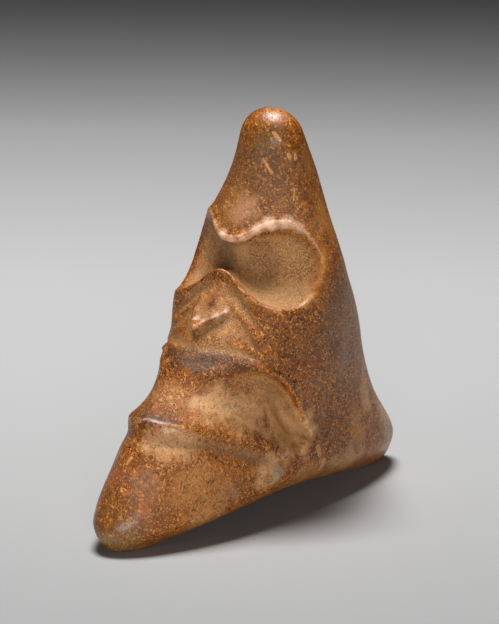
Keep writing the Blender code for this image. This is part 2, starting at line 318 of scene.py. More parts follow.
@dataclass(frozen=True)
class Sockets:
    """The two eye sockets, the pass between them and the raised brow over them."""

    centre: Point = (25.6, -5.6, 116.3)
    facing: Point = (0.56, -0.78, 0.28)
    radii: Point = (21.6, 18.7, 13.5)
    lift: float = 4.5
    saddle: tuple[Point, Point] = ((0.0, -15.5, 119.3), (14.2, -12.0, 117.0))
    saddle_radii: tuple[float, float] = (5.4, 9.4)
    saddle_ease: float = 3.0
    saddle_fillet: float = 8.0
    brow_rim: Point = (1.15, 1.5, 1.7)
    brow_heights: tuple[float, float] = (117.7, 126.5)
    brow_ends: tuple[float, float] = (35.0, 18.0)
    edge: float = 1.8

    def field(self, p: np.ndarray) -> np.ndarray:
        """Field of what is cut away, negative inside the hollows."""
        facing = np.array(self.facing)
        facing = facing / np.linalg.norm(facing)
        level = np.cross((0.0, 0.0, 1.0), facing)
        level = level / np.linalg.norm(level)
        axes = np.array([level, np.cross(facing, level), facing])
        q = (p - np.array(self.centre) - self.lift * facing) @ axes.T
        radii = np.array(self.radii)
        share = np.linalg.norm(q / radii, axis=-1)
        socket = share * (share - 1) / (np.linalg.norm(q / radii**2, axis=-1) + 1e-9)
        eased = np.stack([np.hypot(p[..., 0], self.saddle_ease), p[..., 1], p[..., 2]], -1)
        return join(socket, rod(eased, *self.saddle, *self.saddle_radii), self.saddle_fillet)

    def cut(self, p: np.ndarray, stone: np.ndarray) -> np.ndarray:
        """Raises the brow and sinks the sockets."""
        socket = self.field(p)
        over_eye = ramp(p[..., 2], *self.brow_heights) * ramp(p[..., 0], *self.brow_ends)
        return meet(stone - band(socket, self.brow_rim) * over_eye, -socket, self.edge)


@dataclass(frozen=True)
class CarvedForm:
    """The whole carved stone as it stands, leaning forward on two level feet."""

    block: Block = field(default_factory=Block)
    face: Face = field(default_factory=Face)
    sockets: Sockets = field(default_factory=Sockets)
    lean: float = 1.2
    floor: float = 1.2
    foot_sink: float = 0.5
    foot_rounding: float = 2.0
    middle_ease: float = 0.14

    def to_form(self, p: np.ndarray) -> np.ndarray:
        """Places in the frame of the ovals, on the right-hand side."""
        x, y, z = np.hypot(p[..., 0], self.middle_ease), p[..., 1], p[..., 2] + self.floor
        sine, cosine = math.sin(math.radians(self.lean)), math.cos(math.radians(self.lean))
        return np.stack([x, y * cosine + z * sine, z * cosine - y * sine], -1)

    def field(self, p: np.ndarray, share: float = 1.0) -> np.ndarray:
        """Field of the stone, negative inside; both sides are the same.

        Args:
            p: Places to read the field at, in millimetres.
            share: How far the stone is carved, from 0 for the block to 1 when done.

        Returns:
            The field's value at each place.
        """
        q = self.to_form(p)
        whole = self.block.field(q)
        carved = self.face.cut(q, self.face.mouth.cut(q, whole))
        stone = between((whole, self.sockets.cut(q, carved)), share)
        return meet(stone, -p[..., 2] - self.foot_sink, self.foot_rounding)

    def slope(self, p: np.ndarray, share: float, step: float = 0.05) -> np.ndarray:
        """Gradient of the field of the stone when it is carved that far."""
        parts = []
        for axis in np.eye(3) * step:
            rise = self.field(p + axis, share) - self.field(p - axis, share)
            parts.append(rise / (2 * step))
        return np.stack(parts, -1)


@dataclass(frozen=True)
class PhotoCamera:
    """Camera at the viewing angle of the reference, in a frame of 499 by 624 pixels."""

    azimuth: float = 38.5
    elevation: float = 14.02
    roll: float = 0.77
    distance: float = 1.4
    lens: float = 182.5
    sensor: float = 36.0
    target: Point = (0.0, -0.0078, 0.0837)
    shift: tuple[float, float] = (0.0115, 0.0222)
    frame_px: tuple[int, int] = (499, 624)

    def turned(self) -> Quaternion:
        """Rotation of the camera."""
        a, e = math.radians(self.azimuth), math.radians(self.elevation)
        back = Vector((math.sin(a) * math.cos(e), -math.cos(a) * math.cos(e), math.sin(e)))
        level = (-back).to_track_quat("-Z", "Y")
        return level @ Quaternion((0, 0, 1), math.radians(self.roll))

    def place(self) -> Vector:
        """Where the camera stands."""
        return Vector(self.target) + self.turned() @ Vector((0, 0, self.distance))

    def ray(self, pixel: tuple[float, float]) -> Vector:
        """Direction from the camera through a pixel of the reference."""
        wide, high = self.frame_px
        share = self.sensor / self.lens / high
        right = (pixel[0] - wide / 2 + self.shift[0] * high) * share
        up = (high / 2 - pixel[1] + self.shift[1] * high) * share
        return (self.turned() @ Vector((right, up, -1))).normalized()

    def build(self) -> bpy.types.Object:
        """Makes the camera and puts it in use."""
        data = bpy.data.cameras.new("reference_camera")
        data.sensor_width = self.sensor
        data.lens = self.lens
        data.shift_x, data.shift_y = self.shift
        data.clip_start = 0.05
        camera = bpy.data.objects.new("reference_camera", data)
        camera.location = self.place()
        camera.rotation_mode = "QUATERNION"
        camera.rotation_quaternion = self.turned()
        bpy.context.collection.objects.link(camera)
        bpy.context.scene.camera = camera
        return camera


class StainAndPaintedLight(Enum):
    """Broad patches of colour, as linear colours.

    Most are the rock's own.  ROSE_HIGHLIGHT, SHADE, CREAM_AND_LIGHT in the hollows and the broad DARK_AND_SHADE on the
    cone and the front point also stand for how light and shade fall in the reference.
    """

    DARK_AND_SHADE = (0.17, 0.085, 0.036)
    GREEN_GREY = (0.27, 0.19, 0.095)
    PINK = (0.66, 0.34, 0.2)
    OCHRE = (0.55, 0.29, 0.1)
    RED = (0.42, 0.12, 0.045)
    PURPLE_GREY = (0.33, 0.185, 0.12)
    ORANGE = (0.62, 0.27, 0.07)
    PALE = (0.6, 0.46, 0.27)
    GREY = (0.42, 0.35, 0.27)
    TAN = (0.6, 0.35, 0.16)
    CREAM_AND_LIGHT = (0.86, 0.5, 0.24)
    SHADE = (0.085, 0.032, 0.014)
    ROSE_HIGHLIGHT = (0.98, 0.64, 0.46)


@dataclass(frozen=True)
class Patch:
    """A patch of the rock's colour, or a painted highlight or shade, centred where a pixel of the
    reference falls on the stone.
    """

    pixel: tuple[float, float]
    radius: float
    stain_and_light: StainAndPaintedLight
    strength: float = 0.6
    stretch: Point = (1.0, 1.0, 1.0)


PATCHES = (
    # Broad dark patches over the cone: partly the rock's dark tone, partly painted shade.
    Patch((265, 180), 28.0, StainAndPaintedLight.DARK_AND_SHADE, 0.65, (1, 1, 1.3)),
    Patch((263, 158), 12.5, StainAndPaintedLight.DARK_AND_SHADE, 0.7, (1, 1, 1.5)),
    Patch((322, 225), 14.0, StainAndPaintedLight.DARK_AND_SHADE, 0.35),
    # Broad dark patch on the front point: partly the rock's dark tone, partly painted shade.
    Patch((122, 528), 26.0, StainAndPaintedLight.DARK_AND_SHADE, 0.7),
    Patch((235, 205), 12.0, StainAndPaintedLight.OCHRE, 0.5),
    Patch((262, 140), 6.0, StainAndPaintedLight.GREEN_GREY, 0.5),
    # Pink on the top of the tip: partly the rock's tone, partly a painted highlight.
    Patch((279, 116), 6.0, StainAndPaintedLight.PINK, 0.4, (1.6, 1.6, 0.6)),
    Patch((326, 218), 9.0, StainAndPaintedLight.ORANGE, 0.55, (0.8, 0.8, 2.4)),
    Patch((309, 160), 6.0, StainAndPaintedLight.ORANGE, 0.4, (0.7, 0.7, 2.0)),
    Patch((242, 213), 7.5, StainAndPaintedLight.PINK, 0.75),
    Patch((243, 264), 8.0, StainAndPaintedLight.GREEN_GREY, 0.4),
    Patch((285, 250), 11.0, StainAndPaintedLight.OCHRE, 0.45),
    Patch((196, 280), 6.0, StainAndPaintedLight.PINK, 0.55, (1, 1, 1.5)),
    Patch((207, 302), 3.6, StainAndPaintedLight.RED, 0.75),
    Patch((275, 293), 9.0, StainAndPaintedLight.TAN, 0.6, (1.6, 1.6, 0.8)),
    Patch((225, 335), 6.5, StainAndPaintedLight.TAN, 0.5),
    Patch((300, 345), 13.0, StainAndPaintedLight.DARK_AND_SHADE, 0.35),
    Patch((335, 300), 8.0, StainAndPaintedLight.DARK_AND_SHADE, 0.55, (1, 1, 1.6)),
    Patch((345, 350), 9.0, StainAndPaintedLight.GREY, 0.4, (0.7, 0.7, 2.0)),
    Patch((317, 383), 3.5, StainAndPaintedLight.ORANGE, 0.65, (1.6, 1.6, 0.8)),
    Patch((322, 424), 8.5, StainAndPaintedLight.DARK_AND_SHADE, 0.6, (1, 1.4, 1.2)),
    Patch((235, 408), 16.0, StainAndPaintedLight.TAN, 0.35, (1.5, 1.5, 0.8)),
    Patch((205, 403), 7.0, StainAndPaintedLight.PINK, 0.4),
    Patch((172, 447), 10.0, StainAndPaintedLight.PINK, 0.65, (1.4, 1.4, 0.8)),
    Patch((215, 455), 10.0, StainAndPaintedLight.RED, 0.3, (1.8, 1.8, 0.6)),
    Patch((268, 470), 8.5, StainAndPaintedLight.CREAM_AND_LIGHT, 0.95, (1.3, 1.3, 1.0)),
    Patch((276, 474), 5.5, StainAndPaintedLight.PALE, 0.8),
    Patch((205, 520), 10.0, StainAndPaintedLight.TAN, 0.5, (1.5, 1.5, 0.8)),
    Patch((228, 495), 8.0, StainAndPaintedLight.PURPLE_GREY, 0.7, (1.4, 1.4, 0.8)),
    Patch((146, 483), 8.5, StainAndPaintedLight.PURPLE_GREY, 0.55),
    Patch((144, 508), 4.2, StainAndPaintedLight.RED, 0.8, (1, 1, 1.5)),
    Patch((195, 480), 11.0, StainAndPaintedLight.OCHRE, 0.45),
    Patch((116, 475), 6.0, StainAndPaintedLight.RED, 0.5, (1, 1, 2.0)),
    Patch((117, 542), 10.0, StainAndPaintedLight.GREEN_GREY, 0.7, (1.6, 1.6, 0.5)),
    Patch((366, 393), 7.0, StainAndPaintedLight.ORANGE, 0.9, (0.6, 1.0, 2.2)),
    Patch((358, 428), 9.0, StainAndPaintedLight.ORANGE, 0.8, (1.0, 1.0, 1.6)),
    Patch((386, 418), 12.0, StainAndPaintedLight.PALE, 0.7, (1, 1.2, 1.8)),
    Patch((346, 460), 10.0, StainAndPaintedLight.TAN, 0.8, (1.6, 1.6, 0.7)),
    Patch((312, 470), 9.0, StainAndPaintedLight.ORANGE, 0.6, (1.5, 1.5, 0.7)),
    Patch((322, 270), 10.0, StainAndPaintedLight.ORANGE, 0.5, (0.7, 0.7, 2.2)),
    Patch((300, 480), 9.0, StainAndPaintedLight.OCHRE, 0.4, (1.5, 1.5, 0.6)),
    # Dark patch on the right side: partly the rock's tone, partly painted shade.
    Patch((335, 330), 15.0, StainAndPaintedLight.DARK_AND_SHADE, 0.55, (1, 1, 1.4)),
    # Painted shade on the nose, along the groove over the upper lip and on the lower lip's left
    # end.
    Patch((212, 306), 3.2, StainAndPaintedLight.SHADE, 0.7),
    Patch((172, 352), 5.0, StainAndPaintedLight.SHADE, 0.95, (1.4, 1.4, 0.8)),
    Patch((176, 362), 5.0, StainAndPaintedLight.SHADE, 0.95, (1.4, 1.4, 0.8)),
    Patch((190, 353), 5.0, StainAndPaintedLight.SHADE, 0.95, (1.4, 1.4, 0.8)),
    Patch((194, 364), 5.5, StainAndPaintedLight.SHADE, 0.95, (1.4, 1.4, 0.8)),
    Patch((208, 354), 5.0, StainAndPaintedLight.SHADE, 0.95, (1.4, 1.4, 0.8)),
    Patch((212, 366), 5.5, StainAndPaintedLight.SHADE, 0.95, (1.4, 1.4, 0.8)),
    Patch((227, 357), 5.0, StainAndPaintedLight.SHADE, 0.9, (1.4, 1.4, 0.8)),
    Patch((232, 367), 5.0, StainAndPaintedLight.SHADE, 0.8, (1.4, 1.4, 0.8)),
    Patch((247, 363), 4.5, StainAndPaintedLight.SHADE, 0.7, (1.4, 1.4, 0.8)),
    Patch((142, 417), 7.0, StainAndPaintedLight.SHADE, 0.95, (1.6, 1.6, 0.8)),
    Patch((158, 420), 6.0, StainAndPaintedLight.SHADE, 0.9, (1.6, 1.6, 0.8)),
    # Painted light in the pass between the sockets, where the brow shades it.
    Patch((240, 250), 7.0, StainAndPaintedLight.CREAM_AND_LIGHT, 0.9),
    Patch((228, 260), 7.0, StainAndPaintedLight.CREAM_AND_LIGHT, 1.0),
    # Painted highlights on the brow's rim, along the nose's rim and on the floor of the mouth.
    Patch((214, 224), 3.5, StainAndPaintedLight.ROSE_HIGHLIGHT, 0.7),
    Patch((220, 236), 4.0, StainAndPaintedLight.ROSE_HIGHLIGHT, 0.9),
    Patch((231, 242), 3.6, StainAndPaintedLight.ROSE_HIGHLIGHT, 0.9),
    Patch((243, 238), 3.4, StainAndPaintedLight.ROSE_HIGHLIGHT, 0.8),
    Patch((256, 229), 4.0, StainAndPaintedLight.ROSE_HIGHLIGHT, 0.9),
    Patch((270, 223), 4.4, StainAndPaintedLight.ROSE_HIGHLIGHT, 1.0),
    Patch((285, 222), 4.0, StainAndPaintedLight.ROSE_HIGHLIGHT, 0.9),
    Patch((299, 228), 3.4, StainAndPaintedLight.ROSE_HIGHLIGHT, 0.6),
    Patch((196, 318), 2.6, StainAndPaintedLight.ROSE_HIGHLIGHT, 0.9),
    Patch((203, 320), 2.6, StainAndPaintedLight.ROSE_HIGHLIGHT, 0.9),
    Patch((215, 315), 2.6, StainAndPaintedLight.ROSE_HIGHLIGHT, 0.9),
    Patch((226, 309), 2.6, StainAndPaintedLight.ROSE_HIGHLIGHT, 0.8),
    Patch((207, 402), 6.5, StainAndPaintedLight.ROSE_HIGHLIGHT, 0.9, (1.7, 1.3, 0.6)),
    Patch((232, 409), 6.5, StainAndPaintedLight.ROSE_HIGHLIGHT, 0.8, (1.7, 1.3, 0.6)),
    # Cream patches on the sockets' floors, in the mouth and on the chin: partly paler pecked stone,
    # partly painted light.
    Patch((254, 283), 6.0, StainAndPaintedLight.CREAM_AND_LIGHT, 0.6),
    Patch((216, 403), 12.0, StainAndPaintedLight.CREAM_AND_LIGHT, 0.95, (1.6, 1.3, 0.7)),
    Patch((250, 414), 12.0, StainAndPaintedLight.CREAM_AND_LIGHT, 0.95, (1.4, 1.4, 0.9)),
    Patch((284, 430), 15.0, StainAndPaintedLight.CREAM_AND_LIGHT, 1.0, (1.2, 1.2, 1.0)),
    Patch((272, 408), 10.0, StainAndPaintedLight.CREAM_AND_LIGHT, 0.9),
    Patch((280, 294), 10.0, StainAndPaintedLight.CREAM_AND_LIGHT, 0.6, (1.4, 1.4, 0.7)),
    Patch((172, 447), 10.0, StainAndPaintedLight.CREAM_AND_LIGHT, 0.75, (1.4, 1.4, 0.8)),
    Patch((205, 490), 15.0, StainAndPaintedLight.ORANGE, 0.6, (1.5, 1.5, 0.8)),
    Patch((366, 395), 8.0, StainAndPaintedLight.CREAM_AND_LIGHT, 0.5, (0.7, 1.0, 2.2)),
)


@dataclass(frozen=True)
class Fossil:
    """A shell fragment that shows from one pixel of the reference to another."""

    start: tuple[float, float]
    end: tuple[float, float]
    radius: float
    strength: float = 1.0


FOSSILS = (
    Fossil((263, 159), (272, 173), 0.75),
    Fossil((274, 133), (280, 140), 0.95),
    Fossil((289, 155), (290, 158), 1.2),
    Fossil((295.5, 155), (296, 159), 1.1),
    Fossil((298, 167), (305, 160), 0.9, 0.7),
    Fossil((294.5, 188), (294, 200), 0.45),
    Fossil((249.5, 209), (254, 215), 0.5, 0.8),
    Fossil((254, 215), (252.5, 224), 0.5, 0.8),
    Fossil((274, 267.5), (281, 273), 0.35, 0.7),
    Fossil((244, 326), (258, 350), 1.0, 0.55),
    Fossil((318, 447), (320, 454), 1.7),
    Fossil((324, 461), (321, 468), 2.0),
    Fossil((356, 442), (356.5, 447), 1.4, 0.8),
    Fossil((350, 467), (366, 450), 0.6, 0.7),
    Fossil((127, 463), (131, 458), 1.1),
    Fossil((239, 479), (240, 487), 0.6, 0.8),
    Fossil((338, 364), (352, 372), 0.35, 0.8),
    Fossil((312, 380), (322, 386), 1.2, 0.6),
)


@dataclass(frozen=True)
class Pit:
    """A small hole where a grain has dropped out, by a pixel of the reference."""

    pixel: tuple[float, float]
    radius: float
    depth: float


PITS = (
    Pit((215, 216), 1.5, 0.9),
    Pit((217, 222), 1.1, 0.6),
    Pit((250, 241), 1.5, 0.9),
    Pit((255, 237), 1.2, 0.7),
    Pit((231, 310), 0.9, 0.5),
    Pit((322, 331), 1.1, 0.9),
    Pit((296, 381), 1.3, 1.0),
    Pit((308, 312), 1.2, 0.6),
    Pit((114, 534), 0.9, 0.7),
    Pit((117, 498), 0.9, 0.6),
    Pit((309, 257), 0.9, 0.5),
)


@dataclass
class StoneMesh:
    """Fine mesh of the stone: a subdivided cube thrown from the core onto the form."""

    form: CarvedForm = field(default_factory=CarvedForm)
    core: Point = (0.0, 8.0, 60.0)
    reach: float = 220.0
    cuts: int = 127
    passes: int = 46
    carving_passes: int = 28
    halvings: int = 24
    longest_move: float = 2.0
    even: float = 0.5

    def build(self) -> bpy.types.Mesh:
        """Makes the mesh, its two sides alike, standing over the origin.

        Returns:
            The mesh in metres, without a material.
        """
        shape = bmesh.new()
        bmesh.ops.create_cube(shape, size=2.0)
        bmesh.ops.subdivide_edges(
            shape, edges=shape.edges[:], cuts=self.cuts, use_grid_fill=True
        )
        shape.verts.ensure_lookup_table()
        shape.verts.index_update()
        cube = np.array([v.co[:] for v in shape.verts])
        self.edges = np.array([[v.index for v in e.verts] for e in shape.edges])
        self.count = np.bincount(self.edges.ravel(), minlength=len(cube)).astype(float)
        self.pair_sides(cube)
        points = self.settled(self.thrown(np.tan(cube * math.pi / 4)))
        points[:, 2] = np.maximum(points[:, 2], 0.0)
        points[:, 1] -= (points[:, 1].min() + points[:, 1].max()) / 2
        for vert, place in zip(shape.verts, points * MM):
            vert.co = place
        bmesh.ops.recalc_face_normals(shape, faces=shape.faces[:])
        mesh = bpy.data.meshes.new(NODE + "_carved")
        shape.to_mesh(mesh)
        shape.free()
        mesh.shade_smooth()
        return mesh

    def pair_sides(self, cube: np.ndarray) -> None:
        """Finds the right-hand points and each one's mirror twin on the left."""
        middle = 1e-4
        right = np.where(cube[:, 0] > -middle)[0]
        left = np.where(cube[:, 0] < middle)[0]
        keys = np.round(cube, 4)
        twins = np.round(cube * [-1, 1, 1], 4)
        self.right = right[np.lexsort(keys[right].T)]
        self.left = left[np.lexsort(twins[left].T)]

    def thrown(self, directions: np.ndarray) -> np.ndarray:
        """Where rays from the core leave the uncarved stone."""
        directions = directions / np.linalg.norm(directions, axis=1, keepdims=True)
        near = np.zeros(len(directions))
        far = np.full(len(directions), self.reach)
        for _ in range(self.halvings):
            middle = (near + far) / 2
            places = np.array(self.core) + directions * middle[:, None]
            inside = self.form.field(places, 0.0) < 0
            near = np.where(inside, middle, near)
            far = np.where(inside, far, middle)
        return np.array(self.core) + directions * near[:, None]

    def average(self, values: np.ndarray, times: int = 1) -> np.ndarray:
        """Replaces each point's value by its neighbours' mean, the given number of times."""
        a, b = self.edges.T
        for _ in range(times):
            columns = values if values.ndim == 2 else values[:, None]
            total = [
                np.bincount(a, weights=c[b], minlength=len(c))
                + np.bincount(b, weights=c[a], minlength=len(c))
                for c in columns.T
            ]
            mean = np.stack(total, -1) / self.count[:, None]
            values = mean if values.ndim == 2 else mean[:, 0]
        return values

    def settled(self, points: np.ndarray) -> np.ndarray:
        """Draws the points onto the form as it is carved, and evens their spacing."""
        for done in range(self.passes):
            share = float(ramp(done, 0, self.carving_passes))
            pull = (self.average(points) - points)[self.right]
            half = points[self.right]
            slope = self.form.slope(half, share)
            steep = np.linalg.norm(slope, axis=1, keepdims=True) + 1e-9
            normal = slope / steep
            along_surface = pull - normal * np.sum(pull * normal, axis=1, keepdims=True)
            half = half + self.even * along_surface
            move = self.form.field(half, share)[:, None] / steep
            half = half - normal * np.clip(move, -self.longest_move, self.longest_move)
            points = points.copy()
            points[self.right] = half
            points[self.left] = half * [-1, 1, 1]
        return points


@dataclass
class Weathering:
    """Small relief of ground and worn stone, and the masks that its finish reads."""

    grid: StoneMesh
    camera: PhotoCamera
    swell: float = 0.16
    swell_size: float = 17.0
    ripple: float = 0.05
    ripple_size: float = 4.5
    wear: float = 0.22
    wear_size: float = 3.4
    pocks: float = 0.34
    pock_size: float = 3.1
    pock_share: float = 0.3
    masks: dict[str, np.ndarray] = field(default_factory=dict)

    def places(self, mesh: bpy.types.Mesh) -> tuple[np.ndarray, np.ndarray]:
        """Vertex places in millimetres and unit normals."""
        points = np.empty(len(mesh.vertices) * 3)
        mesh.vertices.foreach_get("co", points)
        normals = np.array([n.vector[:] for n in mesh.vertex_normals])
        return points.reshape(-1, 3) / MM, normals

    def measure(self, points: np.ndarray, normals: np.ndarray) -> None:
        """Works out where the surface is hollow, creased or an edge."""
        for name, times, sign, strong in (
            ("hollow", 60, 1, 96), ("crease", 10, 1, 98), ("ridge", 6, -1, 99.2)
        ):
            rise = np.sum((self.grid.average(points, times) - points) * normals, axis=1) * sign
            rise = self.grid.average(rise, 2)
            self.masks[name] = np.clip(rise / np.percentile(rise, strong), 0, 1)

    def sunk(self, points: np.ndarray) -> np.ndarray:
        """How far each point lies below the smooth form."""
        ridge = self.masks["ridge"]
        depth = np.zeros(len(points))
        for i, p in enumerate(points):
            place = Vector(p)
            swell = 0.5 + 0.5 * noise.noise(place / self.swell_size)
            ripple = 0.5 + 0.5 * noise.noise(place / self.ripple_size)
            worn = max(0.0, noise.noise(place / self.wear_size + Vector((7, 3, 1))))
            near = noise.voronoi(place / self.pock_size)
            hole = max(0.0, 1 - near[0][0] / self.pock_share)
            rare = noise.cell(near[1][0] * 3.7) > 0.35
            depth[i] = self.swell * swell + self.ripple * ripple + self.wear * worn * ridge[i]
            depth[i] += self.pocks * hole * (2 - hole) * rare
        return depth

    def marked(self, mesh: bpy.types.Mesh) -> dict[tuple[float, float], np.ndarray]:
        """Where the pixels that place marks fall on the stone, in millimetres."""
        tree = BVHTree.FromPolygons(
            [v.co for v in mesh.vertices], [tuple(f.vertices) for f in mesh.polygons]
        )
        found = {}
        pixels = [p.pixel for p in (*PATCHES, *PITS)]
        pixels += [end for f in FOSSILS for end in (f.start, f.end)]
        for pixel in pixels:
            hit = tree.ray_cast(self.camera.place(), self.camera.ray(pixel))[0]
            if hit is None:
                LOG.warning("pixel %s misses the stone", pixel)
                hit = tree.find_nearest(self.camera.place())[0]
            found[pixel] = np.array(hit) / MM
        return found

    def stains(self, points: np.ndarray, found: dict) -> np.ndarray:
        """Colour and strength of the broad patches at each point, painted highlights and shade
        among them.
        """
        stain_and_light = np.zeros((len(points), 4))
        ragged = np.array([noise.fractal(Vector(p) / 6.0, 1.0, 2.0, 4) for p in points])
        for patch in PATCHES:
            away = (points - found[patch.pixel]) / (patch.radius * np.array(patch.stretch))
            near = np.linalg.norm(away, axis=1) + 0.45 * ragged
            weight = patch.strength * ramp(near, 1.1, 0.35)
            weight = weight[:, None]
            stain_and_light[:, :3] = stain_and_light[:, :3] * (1 - weight) + np.array(patch.stain_and_light.value) * weight
            stain_and_light[:, 3:] = 1 - (1 - stain_and_light[:, 3:]) * (1 - weight)
        stain_and_light[:, :3] /= np.maximum(stain_and_light[:, 3:], 1e-6)
        return stain_and_light

    def apply(self, mesh: bpy.types.Mesh) -> dict[tuple[float, float], np.ndarray]:
        """Sinks the relief into the mesh and stores its masks as attributes.

        Returns:
            Where each marking pixel falls on the stone, in millimetres.
        """
        points, normals = self.places(mesh)
        self.measure(points, normals)
        found = self.marked(mesh)
        depth = self.sunk(points)
        for pit in PITS:
            near = np.linalg.norm(points - found[pit.pixel], axis=1) / pit.radius
            depth += pit.depth * ramp(near, 1.0, 0.3)
        on_foot = ramp(points[:, 2], 0.0, 1.5)
        points = points - normals * (depth * on_foot)[:, None]
        points[:, 2] = np.maximum(points[:, 2], 0.0)
        mesh.vertices.foreach_set("co", (points * MM).ravel())
        mesh.update()
        self.masks["hole"] = ramp(depth, self.swell + self.ripple + 0.1, 0.7)
        for name, values in self.masks.items():
            store = mesh.attributes.new(name, "FLOAT", "POINT")
            store.data.foreach_set("value", values.astype(np.float32))
        store = mesh.attributes.new("stain_and_light", "FLOAT_COLOR", "POINT")
        store.data.foreach_set("color", self.stains(points, found).astype(np.float32).ravel())
        return found


class Sheet:
    """Short ways to add and link the nodes of one material or group."""

    def __init__(self, tree: bpy.types.NodeTree) -> None:
        """Keeps the tree that the nodes go in."""
        self.tree = tree

    def add(self, kind: str, inputs: dict | None = None, **settings) -> bpy.types.Node:
        """Adds a node, sets its options and sets or links its inputs."""
        node = self.tree.nodes.new(kind)
        for name, value in settings.items():
            setattr(node, name, value)
        for name, value in (inputs or {}).items():
            self.put(node.inputs[name], value)
        return node

    def put(self, socket: bpy.types.NodeSocket, value: object) -> None:
        """Links the value to the socket if it is a socket, or else sets it."""
        if isinstance(value, bpy.types.NodeSocket):
            self.tree.links.new(value, socket)
        else:
            socket.default_value = value

    def math(self, what: str, a: object, b: object = 0.0, clamp: bool = False) -> object:
        """Result of one sum on two numbers."""
        node = self.add("ShaderNodeMath", operation=what, use_clamp=clamp)
        self.put(node.inputs[0], a)
        self.put(node.inputs[1], b)
        return node.outputs[0]

    def vector(self, what: str, a: object, b: object = (0, 0, 0), scale: object = 1.0) -> object:
        """Result of one sum on two vectors."""
        node = self.add("ShaderNodeVectorMath", operation=what)
        self.put(node.inputs[0], a)
        self.put(node.inputs[1], b)
        if what == "SCALE":
            self.put(node.inputs["Scale"], scale)
        return node.outputs["Value" if what in ("LENGTH", "DOT_PRODUCT") else "Vector"]

    def span(self, value: object, low: float, high: float, start: float = 0.0, end: float = 1.0):
        """Value moved from low..high to start..end, smoothly and held at both ends."""
        node = self.add("ShaderNodeMapRange", interpolation_type="SMOOTHSTEP")
        for name, given in zip(
            ("Value", "From Min", "From Max", "To Min", "To Max"), (value, low, high, start, end)
        ):
            self.put(node.inputs[name], given)
        return node.outputs["Result"]

    def mix(self, share: object, a: object, b: object, how: str = "MIX") -> object:
        """Colour between a and b."""
        node = self.add("ShaderNodeMix", data_type="RGBA", blend_type=how)
        self.put(node.inputs["Factor"], share)
        for name, value in (("A", a), ("B", b)):
            socket = [s for s in node.inputs if s.name == name and s.type == "RGBA"][0]
            if isinstance(value, tuple):
                value = (*value, 1.0)
            self.put(socket, value)
        return [s for s in node.outputs if s.type == "RGBA"][0]

    def clouds(self, where: object, scale: float, detail: float = 3.0, rough: float = 0.55):
        """Fractal noise, whose grains are about one over the scale across."""
        return self.add(
            "ShaderNodeTexNoise",
            {"Vector": where, "Scale": scale, "Detail": detail, "Roughness": rough},
        ).outputs["Fac"]

    def read(self, name: str) -> bpy.types.Node:
        """Reads an attribute of the piece."""
        return self.add("ShaderNodeAttribute", attribute_name=name)


def new_group(name: str, inputs: tuple, outputs: tuple) -> tuple[Sheet, object, object]:
    """Starts a node group.

    Args:
        name: What the group is called.
        inputs: Name and socket type of each input.
        outputs: Name and socket type of each output.

    Returns:
        The sheet of the group's tree, and its input and output nodes.
    """
    tree = bpy.data.node_groups.new(name, "ShaderNodeTree")
    for title, kind in inputs:
        tree.interface.new_socket(title, in_out="INPUT", socket_type=kind)
    for title, kind in outputs:
        tree.interface.new_socket(title, in_out="OUTPUT", socket_type=kind)
    sheet = Sheet(tree)
    return sheet, sheet.add("NodeGroupInput"), sheet.add("NodeGroupOutput")


@dataclass(frozen=True)
class ShellGrit:
    """Node group: grains of broken shell of one size, packed in the rock."""

    name: str = "shell_grit"

    def build(self) -> bpy.types.NodeTree:
        """Grains as a mask, and a random number for each."""
        sheet, given, out = new_group(
            self.name,
            (
                ("Vector", "NodeSocketVector"),
                ("Scale", "NodeSocketFloat"),
                ("Share", "NodeSocketFloat"),
                ("Size", "NodeSocketFloat"),
            ),
            (("Grain", "NodeSocketFloat"), ("Shade", "NodeSocketFloat")),
        )
        bent = sheet.add(
            "ShaderNodeTexNoise", {"Vector": given.outputs["Vector"], "Scale": 0.35, "Detail": 2.0}
        ).outputs["Color"]
        bent = sheet.vector("SUBTRACT", bent, (0.5, 0.5, 0.5))
        where = sheet.vector("ADD", given.outputs["Vector"], sheet.vector("SCALE", bent, scale=2.6))
        cells = sheet.add(
            "ShaderNodeTexVoronoi",
            {"Vector": where, "Scale": given.outputs["Scale"], "Randomness": 1.0},
        )
        parts = sheet.add("ShaderNodeSeparateColor", {"Color": cells.outputs["Color"]})
        chosen = sheet.math("LESS_THAN", parts.outputs["Red"], given.outputs["Share"])
        spread = sheet.math("ADD", parts.outputs["Blue"], 0.4)
        size = sheet.math("MULTIPLY", given.outputs["Size"], spread)
        round_it = sheet.math("SUBTRACT", size, cells.outputs["Distance"])
        soft = sheet.math("MULTIPLY", round_it, 9.0, clamp=True)
        sheet.put(out.inputs["Grain"], sheet.math("MULTIPLY", soft, chosen))
        sheet.put(out.inputs["Shade"], parts.outputs["Green"])
        return sheet.tree


